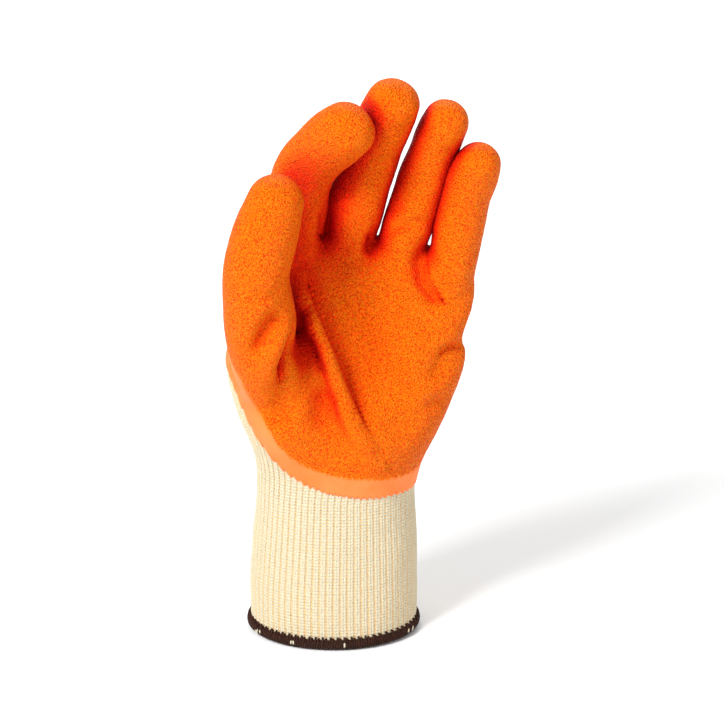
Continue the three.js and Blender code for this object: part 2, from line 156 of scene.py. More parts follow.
class Digit:
    """The way one digit runs, and its girth along it."""
    STEPS = 240
    JOINTS = (0.26, 0.58), (0.54, 0.86)

    def __init__(self, name, length, width, depth, x, y, rise, lean, curl, roll):
        self.name, self.length, self.width, self.depth = name, length, width, depth
        self.girths = THUMB_GIRTHS if name == "thumb" else FINGER_GIRTHS
        share = np.linspace(0, 1, self.STEPS + 1)
        first, second = (ease(share, *joint) for joint in self.JOINTS)
        lean, curl = (np.radians(a + b * first + c * second) for a, b, c in (lean, curl))
        cos_lean, sin_lean, cos_curl, sin_curl = np.cos(lean), np.sin(lean), np.cos(curl), np.sin(curl)
        self.along = np.stack([sin_lean * cos_curl, -sin_curl, cos_lean * cos_curl], -1)
        side = np.stack([cos_lean, np.zeros_like(share), -sin_lean], -1)
        turn = math.radians(roll)
        self.side = side * math.cos(turn) + np.cross(self.along, side) * math.sin(turn)
        self.back = np.cross(self.along, self.side)
        step = length / self.STEPS
        root = np.array([x * HAND_WIDTH, y * HAND_DEPTH, CUFF_LENGTH + rise * HAND_LENGTH])
        self.centre = root + np.vstack([np.zeros(3), np.cumsum(self.along[:-1] * step, axis=0)])
        self.tip_radius = self.girths[-1, 2] * depth / 2
        self.reach = length - self.tip_radius
        self.root = self.girths[0, 0] * length

    def frame_at(self, distance):
        """The middle of the digit at each distance, and the ways to its side and its back there."""
        step = self.length / self.STEPS
        i = np.clip(np.round(distance / step).astype(int), 0, self.STEPS)
        past = (distance - i * step)[:, None]
        return self.centre[i] + self.along[i] * past, self.side[i], self.back[i]

    def girth_at(self, distance, draw_in):
        """Half width and half depth at each distance, closing over the round tip."""
        inside = np.minimum(distance, self.reach)
        past = np.clip((distance - self.reach) / (self.tip_radius - draw_in), 0, 1)
        close = np.sqrt(np.maximum(1 - past ** 2, 0))
        share = inside / self.reach
        return ((from_table(self.girths, share, 1) * self.width / 2 - draw_in) * close,
                (from_table(self.girths, share, 2) * self.depth / 2 - draw_in) * close)

    def form(self, distance, angle, draw_in=0.0):
        """Points on the digit; distance and angle have the same shape."""
        centre, side, back = self.frame_at(distance.ravel())
        half_width, half_depth = self.girth_at(distance.ravel(), draw_in)
        flat = angle.ravel()
        points = (centre + side * (np.cos(flat) * half_width)[:, None]
                  + back * (np.sin(flat) * half_depth)[:, None])
        return points.reshape(distance.shape + (3,))


digits = [Digit(name, *sizes) for name, sizes in DIGITS.items()]


def lattice_quads(rows, sides, closed=False):
    """Faces between rows of points that run round; closed joins the last row to the first one too."""
    r, s = np.meshgrid(np.arange(rows if closed else rows - 1), np.arange(sides), indexing="ij")
    next_r, next_s = (r + 1) % rows, (s + 1) % sides
    corners = [r * sides + s, r * sides + next_s, next_r * sides + next_s, next_r * sides + s]
    return np.stack(corners, -1).reshape(-1, 4)


def closed_tube(rings):
    """Points and faces of a tube with a fan at each end."""
    rows, sides = rings.shape[:2]
    points = np.vstack([rings.reshape(-1, 3), rings[0].mean(0), rings[-1].mean(0)])
    i = np.arange(sides)
    j, last = (i + 1) % sides, (rows - 1) * sides
    bottom = np.stack([j, i, np.full(sides, rows * sides)], -1)
    top = np.stack([last + i, last + j, np.full(sides, rows * sides + 1)], -1)
    return points, [*lattice_quads(rows, sides).tolist(), *bottom.tolist(), *top.tolist()]


# The tubes are drawn in by this much before they are made one skin, and the skin is let out again after it,
# so that fingers which touch stay apart.
SLACK = 0.9
round_angles = np.linspace(0, 2 * np.pi, 180, endpoint=False)
digit_angles = np.linspace(0, 2 * np.pi, 64, endpoint=False)
trunk_rises = np.concatenate([np.linspace(-1.1, -0.02, 55), np.linspace(0, 1, 110)])
trunk_rings = trunk_form(*np.meshgrid(trunk_rises, round_angles, indexing="ij"))
ahead = np.roll(trunk_rings, -1, 1) - np.roll(trunk_rings, 1, 1)
out = np.stack([ahead[..., 1], -ahead[..., 0]], -1)
trunk_rings[..., :2] -= out / np.linalg.norm(out, axis=2)[..., None] * SLACK
forms = [trunk_rings]
for digit in digits:
    distances = np.concatenate([
        np.linspace(digit.root, digit.reach, 80),
        digit.reach + (digit.tip_radius - SLACK) * np.sin(np.linspace(0.1, 1.54, 14)),
    ])
    forms.append(digit.form(*np.meshgrid(distances, digit_angles, indexing="ij"), draw_in=SLACK))


def tree_of(points):
    """A tree that finds the nearest of the points."""
    tree = KDTree(len(points))
    for i, point in enumerate(points):
        tree.insert(point, i)
    tree.balance()
    return tree


form_trees = [tree_of(rings.reshape(-1, 3)) for rings in forms]


def neighbour_mean(values, edges, count):
    """For each point the mean of the values of its neighbours, of which there are count."""
    total = np.zeros_like(values)
    for axis in range(values.shape[1]):
        total[:, axis] = (np.bincount(edges[:, 0], values[edges[:, 1], axis], len(values))
                          + np.bincount(edges[:, 1], values[edges[:, 0], axis], len(values)))
    return total / count[:, None]


def as_triangles(quads):
    """Each four-sided face as two triangles."""
    return np.vstack([quads[:, [0, 1, 2]], quads[:, [0, 2, 3]]])


def normals_of(points, triangles):
    """The way out of the surface at each point."""
    a, b, c = (points[triangles[:, k]] for k in range(3))
    face = np.cross(b - a, c - a)
    total = np.zeros_like(points)
    for k in range(3):
        for axis in range(3):
            total[:, axis] += np.bincount(triangles[:, k], face[:, axis], len(points))
    return total / np.maximum(np.linalg.norm(total, axis=1), 1e-12)[:, None]


# The mesh width of the skin, and how often it is smoothed: all over at first, then only where tubes meet. A
# point whose second nearest tube is closer than MEETING is smoothed fully, and past APART not at all.
VOXEL, TURNS_ALL_OVER, TURNS, MEETING, APART = 1.0, 5, 34, 2.0, 9.0


def glove_form():
    """The glove as one smooth skin: its points, its faces, the tube nearest to each point, its edges."""
    points, faces = [], []
    for rings in forms:
        more, more_faces = closed_tube(rings)
        start = sum(len(p) for p in points)
        points.append(more)
        faces += [[i + start for i in face] for face in more_faces]
    mesh = bpy.data.meshes.new("form")
    mesh.from_pydata(np.vstack(points).tolist(), [], faces)
    body = bpy.data.objects.new("form", mesh)
    bpy.context.scene.collection.objects.link(body)
    remesh = body.modifiers.new("one skin", "REMESH")
    remesh.mode, remesh.voxel_size = "VOXEL", VOXEL
    skin = body.evaluated_get(bpy.context.evaluated_depsgraph_get()).to_mesh()
    place = np.empty(len(skin.vertices) * 3)
    skin.vertices.foreach_get("co", place)
    place = place.reshape(-1, 3)
    corners = np.empty(len(skin.loops), int)
    skin.loops.foreach_get("vertex_index", corners)
    quads = corners.reshape(-1, 4)
    edges = np.empty(len(skin.edges) * 2, int)
    skin.edges.foreach_get("vertices", edges)
    edges = edges.reshape(-1, 2)
    body.to_mesh_clear()
    bpy.data.objects.remove(body)
    bpy.data.meshes.remove(mesh)
    away = np.array([[tree.find(point)[2] for tree in form_trees] for point in place])
    second = np.sort(away, axis=1)[:, 1]
    join = 1 - ease(second, MEETING, APART)
    count = np.bincount(edges.ravel(), minlength=len(place))
    for turn in range(TURNS):
        step = (neighbour_mean(place, edges, count) - place) * 0.5
        place = place + step * (1.0 if turn < TURNS_ALL_OVER else join[:, None])
    place = place + normals_of(place, as_triangles(quads)) * SLACK
    return place, quads, np.argmin(away, axis=1), edges


# The view that the creases below are drawn in, which is the camera's too: its tilt, its distance, the point
# it looks at, and where that point stands in the view.
VIEW_TILT, VIEW_DISTANCE = math.radians(18), 1100.0
VIEW_AIM, AIM_SEEN_AT = np.array([12.7, 0, 123.0]), np.array([12.7, 110.0])


def seen_at(points):
    """Where points stand in that view, in millimetres across and up."""
    back = np.array([0, -math.cos(VIEW_TILT), math.sin(VIEW_TILT)])
    up = np.array([0, math.sin(VIEW_TILT), math.cos(VIEW_TILT)])
    offset = points - VIEW_AIM
    nearer = VIEW_DISTANCE / (VIEW_DISTANCE - offset @ back)
    return np.stack([offset[:, 0] * nearer, (offset @ up) * nearer], -1) + AIM_SEEN_AT


# Creases of the worn fabric: which part they lie on (0 the hand, 1 the thumb and so on), how wide and deep
# they are, how far the lips beside them stand up on the thumb's side and on the other, and the places that
# each one runs through, from the top down, as seen_at gives them.
CREASES = [
    ((0,), 3.4, 2.8, 3.0, 0.4,
     [(-14.4, 151.0), (-9.8, 143.6), (-0.8, 124.6), (7.2, 104.4), (14.0, 85.9), (20.4, 71.5)]),
    ((0,), 2.0, 1.2, 0.4, 0.4, [(-15.1, 124.6), (-9.8, 118.2), (-5.6, 109.7), (-3.4, 102.8)]),
    ((0, 1), 3.0, 3.6, 1.4, 0.2,
     [(-11.5, 133.5), (-15.6, 124.6), (-19.3, 115.0), (-22.0, 105.5), (-22.5, 94.9)]),
    ((0, 1), 4.0, 2.3, 0.3, 0.9, [(-21.5, 134.1), (-26.8, 127.7), (-32.1, 119.2), (-34.7, 110.8)]),
    ((0,), 6.0, 1.3, 0.2, 0.2, [(-4.5, 101.2), (-4.5, 91.2), (-7.2, 77.9)]),
    ((0, 4), 4.0, 2.1, 0.5, 0.8, [(39.5, 158.4), (38.4, 150.0), (40.0, 143.6), (44.8, 138.3), (50.6, 135.1)]),
    ((0, 4), 2.4, 0.7, 0.4, 0.4, [(25.2, 165.9), (29.4, 169.6), (35.8, 171.2), (43.2, 172.2)]),
    ((0, 3, 4), 3.0, 1.8, 0.3, 0.3, [(18.3, 168.0), (16.7, 161.7), (15.1, 155.3)]),
    ((0, 2, 3), 4.0, 2.0, 0.3, 0.3, [(-2.9, 178.6), (-2.9, 170.1), (-4.5, 161.7)]),
    ((0,), 2.5, 1.5, 0.6, 0.6, [(57.0, 118.2), (50.6, 115.5), (44.8, 110.8)]),
    ((0,), 3.0, 1.0, 0.4, 0.4, [(50.1, 92.8), (45.3, 92.8), (40.0, 88.5)]),
    ((0,), 6.0, 0.8, 0.3, 0.3, [(25.2, 140.5), (37.4, 130.9), (45.3, 120.3)]),
    ((0,), 7.0, 0.8, 0.2, 0.2, [(28.4, 104.4), (32.1, 88.5), (28.4, 72.6)]),
    ((1,), 3.0, 0.8, 0.2, 0.2, [(-36.3, 141.5), (-28.9, 138.3), (-22.5, 140.5)]),
    ((0, 1), 5.0, 0.9, 0.2, 0.2, [(-28.9, 104.4), (-24.6, 91.2), (-18.3, 80.6)]),
]


# How much deeper than its row says the middle of a crease is, and where its lips stand and how wide they are,
# in widths of the crease.
CREASE_GAIN, LIP_AT, LIP_WIDTH = 1.7, 1.9, 1.1


def curve_through(places, count=40):
    """Points at even steps on a smooth curve through the places."""
    rows = np.column_stack([np.linspace(0, 1, len(places)), np.array(places, float)])
    at = np.linspace(0, 1, count)
    return np.stack([from_table(rows, at, 1), from_table(rows, at, 2)], -1)


def crease_depth(points, normals, parts):
    """How far each point goes in along its normal."""
    seen = seen_at(points)
    facing = ease(-normals[:, 1], 0.05, 0.5)
    depth = np.zeros(len(points))
    for on, width, deep, thumbward_lip, other_lip, places in CREASES:
        line = curve_through(places)
        low, high = line.min(0) - 4 * width, line.max(0) + 4 * width
        near = np.flatnonzero(np.isin(parts, on) & (seen > low).all(1) & (seen < high).all(1))
        gaps = np.linalg.norm(seen[near, None] - line[None], axis=2)
        which = gaps.argmin(1)
        away = gaps[np.arange(len(near)), which] / width
        end = np.minimum(which, len(line) - 1 - which) / (len(line) - 1)
        taper = 0.25 + 0.75 * ease(end, 0.0, 0.3)  # a crease runs out at both of its ends
        ahead = line[np.minimum(which + 1, len(line) - 1)] - line[np.maximum(which - 1, 0)]
        off = seen[near] - line[which]
        lip = np.where(ahead[:, 0] * off[:, 1] - ahead[:, 1] * off[:, 0] > 0, other_lip, thumbward_lip)
        profile = CREASE_GAIN * deep * np.exp(-away ** 2) - lip * np.exp(-((away - LIP_AT) / LIP_WIDTH) ** 2)
        depth[near] += facing[near] * taper * profile
    return depth


# Places where the fabric is pulled out between two fingers, or pulled in where the thumb folds off the palm:
# the parts, the place, how far round it, and how much.
FILLS = [
    ((0, 1), (-13.5, -27.0, 137.0), 9.0, -4.0),
    ((1,), (-17.5, -36.0, 170.0), 9.0, -1.6),
    ((3,), (-2.5, 2.0, 192.0), 13.0, 2.2),
    ((2,), (-6.0, -4.0, 192.0), 12.0, 0.8),
    ((4, 5), (43.5, 0.0, 188.0), 9.0, 0.9),
    ((4, 5), (48.5, 0.0, 200.0), 11.0, 1.3),
    ((4, 5), (55.0, -3.0, 212.0), 9.0, 1.0),
]


def uneven(points, size, seed):
    """Smooth unevenness between -1 and 1 with bumps of about the given size in millimetres."""
    return np.array([noise.noise(Vector(point) / size + Vector((seed, 0, 0))) for point in points])


def worn(points, quads, parts):
    """The points with the creases, the fills and a slight unevenness of the fabric."""
    normals = normals_of(points, as_triangles(quads))
    moved = crease_depth(points, normals, parts) - 0.35 * uneven(points, size=16.0, seed=3.1)
    for on, place, reach, push in FILLS:
        gap = np.linalg.norm(points - place, axis=1)
        moved -= np.where(np.isin(parts, on), push * np.exp(-(gap / reach) ** 2), 0)
    return points - normals * moved[:, None]


skin_points, skin_quads, skin_parts, skin_edges = glove_form()
skin_points = worn(skin_points, skin_quads, skin_parts)
skin_normals = normals_of(skin_points, as_triangles(skin_quads))
skin_tree = BVHTree.FromPolygons(skin_points.tolist(), skin_quads.tolist())


# The ground of the knit: the backs of the loops and the elastic thread laid in between them. It is one
# seamless tube with five closed fingers, knitted in one go, seen as golden gaps between the stitches.
def add_piece(name, points, faces, material, nodes=()):
    """A piece from points in millimetres and faces that all have the same number of corners."""
    mesh = bpy.data.meshes.new(name)
    faces = np.asarray(faces, np.int32)
    mesh.vertices.add(len(points))
    mesh.vertices.foreach_set("co", (np.asarray(points) * 0.001).astype(np.float32).ravel())
    mesh.loops.add(faces.size)
    mesh.loops.foreach_set("vertex_index", faces.ravel())
    mesh.polygons.add(len(faces))
    mesh.polygons.foreach_set("loop_start", np.arange(0, faces.size, faces.shape[1], dtype=np.int32))
    mesh.update(calc_edges=True)
    mesh.validate()
    mesh.polygons.foreach_set("use_smooth", np.full(len(faces), True))
    mesh.materials.append(material)
    piece = bpy.data.objects.new(name, mesh)
    bpy.context.scene.collection.objects.link(piece)
    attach(piece, "root")
    if nodes:
        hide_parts(*nodes)
    return piece


def paint(piece, name, values):
    """Keep one number for each point, for the material to read."""
    layer = piece.data.attributes.new(name, "FLOAT", "POINT")
    layer.data.foreach_set("value", np.asarray(values, np.float32))


def feed(tree, socket, value):
    """Give an input a value, or join another node's output to it."""
    if isinstance(value, bpy.types.NodeSocket):
        tree.links.new(value, socket)
    else:
        socket.default_value = value


def node(tree, kind, **settings):
    """A new node, with settings that are inputs or properties of it."""
    made = tree.nodes.new(kind)
    for key, value in settings.items():
        if key in made.inputs:
            feed(tree, made.inputs[key], value)
        else:
            setattr(made, key, value)
    return made


def maths(tree, operation, *values):
    """What an operation makes of some values, as an output."""
    made = node(tree, "ShaderNodeMath", operation=operation)
    for socket, value in zip(made.inputs, values):
        feed(tree, socket, value)
    return made.outputs[0]


def mixed(tree, share, first, second, blend="MIX"):
    """Two colours, blended by a share of the second."""
    made = node(tree, "ShaderNodeMix", data_type="RGBA", blend_type=blend)
    for number, value in ((0, share), (6, first), (7, second)):
        feed(tree, made.inputs[number], value)
    return made.outputs[2]


def in_range(tree, value, low, high):
    """0 where the value is low and 1 where it is high."""
    made = node(tree, "ShaderNodeMapRange", **{"Value": value, "From Min": low, "From Max": high})
    return made.outputs["Result"]


def ramp(tree, place, stops):
    """The colour at a place on a ramp. Its stops have colours of 0 to 255, as on a screen."""
    made = node(tree, "ShaderNodeValToRGB", Fac=place)
    elements = made.color_ramp.elements
    while len(elements) < len(stops):
        elements.new(0.5)
    for element, (at, tone) in zip(elements, stops):
        light = [((c / 255 + 0.055) / 1.055) ** 2.4 if c > 10 else c / 255 / 12.92 for c in tone]
        element.position, element.color = at, (*light, 1.0)
    return made.outputs["Color"]


def new_material(name, **settings):
    """A material with its own Principled shader and its settings: the material, its tree, the shader."""
    material = bpy.data.materials.new(name)
    material.use_nodes = True
    tree = material.node_tree
    tree.nodes.clear()
    shader = node(tree, "ShaderNodeBsdfPrincipled", **settings)
    node(tree, "ShaderNodeOutputMaterial", Surface=shader.outputs["BSDF"])
    return material, tree, shader


def fibre_group():
    """Short fibres of cotton: a mask that varies over the yarn, and a normal that follows it."""
    tree = bpy.data.node_groups.new("fibres", "ShaderNodeTree")
    tree.interface.new_socket("Mask", in_out="OUTPUT", socket_type="NodeSocketFloat")
    tree.interface.new_socket("Normal", in_out="OUTPUT", socket_type="NodeSocketVector")
    place = node(tree, "ShaderNodeTexCoord").outputs["Object"]
    fine = node(tree, "ShaderNodeTexNoise", Vector=place, Scale=2600.0, Detail=2.0, Roughness=0.6)
    broad = node(tree, "ShaderNodeTexNoise", Vector=place, Scale=900.0, Detail=1.0, Roughness=0.5)
    mask = maths(tree, "MULTIPLY", maths(tree, "ADD", fine.outputs[0], broad.outputs[0]), 0.5)
    bump = node(tree, "ShaderNodeBump", Strength=0.55, Distance=0.0003, Height=mask)
    node(tree, "NodeGroupOutput", Mask=mask, Normal=bump.outputs["Normal"])
    return tree


fibres = fibre_group()
WHITE = (255, 255, 255)


def yarn_material(name, dark, light, sheen):
    """Spun yarn, dark between its fibres and light on them."""
    material, tree, shader = new_material(
        name, **{"Roughness": 0.9, "Specular IOR Level": 0.15, "Sheen Weight": sheen})
    fibre = node(tree, "ShaderNodeGroup", node_tree=fibres)
    feed(tree, shader.inputs["Base Color"], ramp(tree, fibre.outputs["Mask"], [(0.3, dark), (0.62, light)]))
    feed(tree, shader.inputs["Normal"], fibre.outputs["Normal"])
    return material


# The edge of the latex, which the bare knit runs up to: its height over the heel of the hand at shares of the
# width. Then how far back it reaches on the sides of the hand and at the knuckles, as shares too, and how far
# the corner between the two is rounded.
DIP_EDGE = np.array([
    (-0.9, 0.62), (-0.5, 0.52), (-0.36, 0.31), (-0.27, 0.2), (-0.18, 0.13), (-0.04, 0.075), (0.15, 0.045),
    (0.4, 0.04), (0.9, 0.04),
])
DIP_BACK, DIP_KNUCKLES, CORNER = 0.12, 0.97, 10.0
# The strips left bare on the backs of the digits: along, half width. Round the digit they are widest at one
# height over its middle, STRIP_TOP, and close over another, STRIP_FALL, in depths of the digit.
FINGER_STRIP = np.array([
    (-0.2, 0.52), (0.1, 0.5), (0.3, 0.4), (0.55, 0.34), (0.66, 0.26), (0.7, 0.16), (0.72, 0.03),
])
THUMB_STRIP = np.array([
    (0.0, 0.84), (0.3, 0.86), (0.48, 0.76), (0.66, 0.48), (0.76, 0.28), (0.82, 0.14), (0.84, 0.03),
])
STRIP_TOP, STRIP_FALL = 0.9, 0.65
# The palm is under the latex wherever it lies: on this side of x and y, above this rise, this far inside.
PALM_FROM_X, PALM_TO_Y, PALM_FROM_RISE, PALM_INSIDE = -30, -8, 0.38, 12.0
# How often the distance from the edge is evened out over the skin.
EDGE_TURNS = 60


def from_dip_edge(points, parts):
    """How far each point stands inside the edge of the latex in millimetres; below 0 is bare knit."""
    share = points[:, 0] / HAND_WIDTH
    edge = CUFF_LENGTH + from_table(DIP_EDGE, share, 1) * HAND_LENGTH
    step = 0.01
    slope = (from_table(DIP_EDGE, share + step, 1) - from_table(DIP_EDGE, share - step, 1)) / (2 * step)
    slope *= HAND_LENGTH / HAND_WIDTH
    heel = (points[:, 2] - edge) / np.sqrt(1 + slope ** 2)
    back = np.maximum(DIP_BACK * HAND_DEPTH - points[:, 1],
                      points[:, 2] - CUFF_LENGTH - DIP_KNUCKLES * HAND_LENGTH)
    blend = np.clip(0.5 + 0.5 * (back - heel) / CORNER, 0, 1)
    inside = back * (1 - blend) + heel * blend - CORNER * blend * (1 - blend)
    for number, digit in enumerate(digits, 1):
        near = np.flatnonzero((parts == number) | ((parts == 0) & (points[:, 1] > 0)))
        line = digit.centre[::4]
        best = np.concatenate([
            np.linalg.norm(points[chunk][:, None] - line[None], axis=2).argmin(1) * 4
            for chunk in np.array_split(near, max(1, len(near) // 4000))
        ])
        offset = points[near] - digit.centre[best]
        strip = THUMB_STRIP if digit.name == "thumb" else FINGER_STRIP
        along = best / digit.STEPS + (offset * digit.along[best]).sum(1) / digit.length
        half_width = from_table(strip, np.clip(along, strip[0, 0], strip[-1, 0]), 1) * digit.width
        across = np.abs((offset * digit.side[best]).sum(1))
        deep = ((offset * digit.back[best]).sum(1) - STRIP_TOP * digit.depth) / (STRIP_FALL * digit.depth)
        beside = across - half_width * np.sqrt(np.clip(1 - deep ** 2, 0, 1))
        below = (-1 - deep) * STRIP_FALL * digit.depth
        gaps = np.where(deep > -1, beside, np.hypot(np.maximum(beside, 0), below))
        gaps = np.maximum(gaps, (along - strip[-1, 0]) * digit.length)
        gaps = np.maximum(gaps, (strip[0, 0] - along) * digit.length)
        inside[near] = np.minimum(inside[near], gaps)
    palm = ((points[:, 0] > PALM_FROM_X) & (points[:, 1] < PALM_TO_Y)
            & (points[:, 2] > CUFF_LENGTH + PALM_FROM_RISE * HAND_LENGTH))
    return np.where(palm, np.maximum(inside, PALM_INSIDE), inside)


inside_edge = from_dip_edge(skin_points, skin_parts)[:, None]
edges_at = np.bincount(skin_edges.ravel(), minlength=len(skin_points))
for _ in range(EDGE_TURNS):
    inside_edge = (inside_edge + neighbour_mean(inside_edge, skin_edges, edges_at)) / 2
inside_edge = inside_edge[:, 0]
loop_backs = yarn_material("loop_backs", (222, 168, 98), (231, 187, 128), sheen=0.1)
# How deep the two faces of the knit lie in the skin, how far the outer one goes on under the latex, and how
# far above the lower edge both end, inside the hem.
GROUND_DEPTH, LINING_DEPTH, UNDER_LATEX, SHEET_FOOT = -0.15, 1.6, 3.0, 1.2


def sheet(name, depth, kept, nodes=()):
    """The part of the skin that is kept, moved in by a depth, from the hem up."""
    kept = kept & (skin_points[:, 2] > SHEET_FOOT + HEM_SLANT * skin_points[:, 1])
    quads = skin_quads[kept[skin_quads].all(axis=1)]
    used = np.unique(quads)
    place_of = np.full(len(skin_points), -1)
    place_of[used] = np.arange(len(used))
    points = skin_points[used] - skin_normals[used] * depth
    return add_piece(name, points, place_of[quads], loop_backs, nodes)


sheet("knit_ground", GROUND_DEPTH, inside_edge < UNDER_LATEX,
      ("knit_cuff", "knit_heel", "knit_palm", "knit_knuckles", "knit_thumb", "knit_index", "knit_middle",
       "knit_ring", "knit_little"))
# The inner face of the same knit goes all the way up, under the latex too.
sheet("knit_lining", LINING_DEPTH, np.full(len(skin_points), True))


# The latex: a thin rubber skin that the palm side, the fingertips and the thumb were dipped in. It grips
# the yarn below it, has a fine grain all over and a smoother, paler border where the dip ran out thin.
# How thick it is over the knit and at its edge, how deep the edge goes into the knit, and the number of columns
# of stitches round the glove, which the edge follows in teeth: their height, what the heel of the hand adds to
# it, and how far the edge wanders besides.
LATEX_THICK, THICK_AT_EDGE, FOOT_DEPTH, WALES = 1.0, 0.45, 0.5, 66
TOOTH, TOOTH_AT_HEEL, EDGE_WANDER = 0.35, 0.75, 0.5
# This far inside the edge at the least, so on the grained body, where there is no border.
NO_BORDER = 20


def split_near(points, triangles, values, reach):
    """Cut each triangle near the edge into four, and those beside them to fit; with the ends of cut sides."""
    near = (np.abs(values[triangles]) < reach).any(axis=1) & ~(values[triangles] < -reach).all(axis=1)
    edges = np.sort(triangles[:, [[0, 1], [1, 2], [2, 0]]].reshape(-1, 2), axis=1)
    key = edges[:, 0] * len(points) + edges[:, 1]
    unique, where = np.unique(key, return_inverse=True)
    cut = np.zeros(len(unique), bool)
    cut[where[np.repeat(near, 3)]] = True
    number = np.full(len(unique), -1)
    number[cut] = len(points) + np.arange(cut.sum())
    ends = np.stack([unique // len(points), unique % len(points)], -1)[cut]
    middle = number[where].reshape(-1, 3)
    a, b, c = triangles.T
    ab, bc, ca = middle.T
    count = (middle >= 0).sum(1)
    result = [triangles[count == 0]]
    for corners in ((a, ab, ca), (ab, b, bc), (ca, bc, c), (ab, bc, ca)):
        result.append(np.stack(corners, -1)[count == 3])
    for turn in range(3):
        p, q, r = (triangles[:, (k + turn) % 3] for k in range(3))
        pq, qr, rp = (middle[:, (k + turn) % 3] for k in range(3))
        one, two = (count == 1) & (pq >= 0), (count == 2) & (rp < 0)
        result += [np.stack(corners, -1)[one] for corners in ((p, pq, r), (pq, q, r))]
        result += [np.stack(corners, -1)[two] for corners in ((pq, q, qr), (p, pq, r), (pq, qr, r))]
    return np.vstack(result), ends


latex_points, latex_normals, inside = skin_points, skin_normals, inside_edge
latex_triangles = as_triangles(skin_quads)
latex_triangles = latex_triangles[(inside[latex_triangles] > -3).any(axis=1)]
for reach in (2.2, 1.2):  # millimetres: finer towards the edge
    latex_triangles, ends = split_near(latex_points, latex_triangles, inside, reach)
    latex_points = np.vstack([latex_points, latex_points[ends].mean(axis=1)])
    latex_normals = np.vstack([latex_normals, latex_normals[ends].mean(axis=1)])
    inside = np.concatenate([inside, inside[ends].mean(axis=1)])
# The latex crept along each column of stitches, so its edge has teeth, most of all at the heel of the hand.
turn = np.arctan2(latex_points[:, 1], latex_points[:, 0])
tooth = np.abs(np.sin(turn * WALES / 2)) - 0.5
at_heel = 1 - ease(latex_points[:, 2], 100.0, 135.0)
inside = (inside + tooth * (TOOTH + TOOTH_AT_HEEL * at_heel)
          + EDGE_WANDER * uneven(latex_points, size=5.0, seed=9.7))

# Every triangle across the edge is cut where the edge crosses it.
covered = inside > 0
number_in = covered[latex_triangles].sum(axis=1)
crossings, rim = {}, []
extra_points, extra_normals, extra_triangles = [], [], []


def crossing_of(i, j):
    """The point where the edge crosses the side from i to j."""
    key = (i, j) if i < j else (j, i)
    if key not in crossings:
        share = inside[i] / (inside[i] - inside[j])
        crossings[key] = len(latex_points) + len(crossings)
        extra_points.append(latex_points[i] + (latex_points[j] - latex_points[i]) * share)
        extra_normals.append(latex_normals[i] + (latex_normals[j] - latex_normals[i]) * share)
    return crossings[key]


for triangle in latex_triangles[(number_in == 1) | (number_in == 2)].tolist():
    flags = [covered[i] for i in triangle]
    one_in = sum(flags) == 1
    k = flags.index(one_in)
    alone, after, last = triangle[k], triangle[(k + 1) % 3], triangle[(k + 2) % 3]
    p, q = crossing_of(alone, after), crossing_of(alone, last)
    extra_triangles += [(alone, p, q)] if one_in else [(p, after, last), (p, last, q)]
    rim.append((p, q) if one_in else (q, p))
latex_triangles = np.vstack([latex_triangles[number_in == 3], np.array(extra_triangles)])
latex_points = np.vstack([latex_points, np.array(extra_points)])
latex_normals = np.vstack([latex_normals, np.array(extra_normals)])
latex_normals /= np.linalg.norm(latex_normals, axis=1)[:, None]
inside = np.concatenate([inside, np.zeros(len(extra_points))])

used = np.unique(latex_triangles)
place_of = np.full(len(latex_points), -1)
place_of[used] = np.arange(len(used))
latex_triangles, rim = place_of[latex_triangles], place_of[np.array(rim)]
latex_points, latex_normals, inside = latex_points[used], latex_normals[used], inside[used]
# Between the fingers and on the little finger's side the grain runs up to the edge, with no paler border.
x, y, z = latex_points.T
shown_inside = inside + NO_BORDER * (ease(z, 125.0, 195.0) * ease(-y, -7.0, 0.0)
                                     + ease(z, 100.0, 135.0) * ease(x, 10.0, 40.0))
thick = (THICK_AT_EDGE + (LATEX_THICK - THICK_AT_EDGE) * np.sqrt(ease(inside, 0.0, 1.4))
         + 0.1 * uneven(latex_points, size=4.0, seed=5.5))
top = latex_points + latex_normals * thick[:, None]
# A skirt goes down from the edge into the knit.
rim_places = np.unique(rim)
foot_of = np.full(len(top), -1)
foot_of[rim_places] = len(top) + np.arange(len(rim_places))
foot = latex_points[rim_places] - latex_normals[rim_places] * FOOT_DEPTH
p, q = rim.T
skirt = np.vstack([np.stack([q, p, foot_of[p]], -1), np.stack([q, foot_of[p], foot_of[q]], -1)])


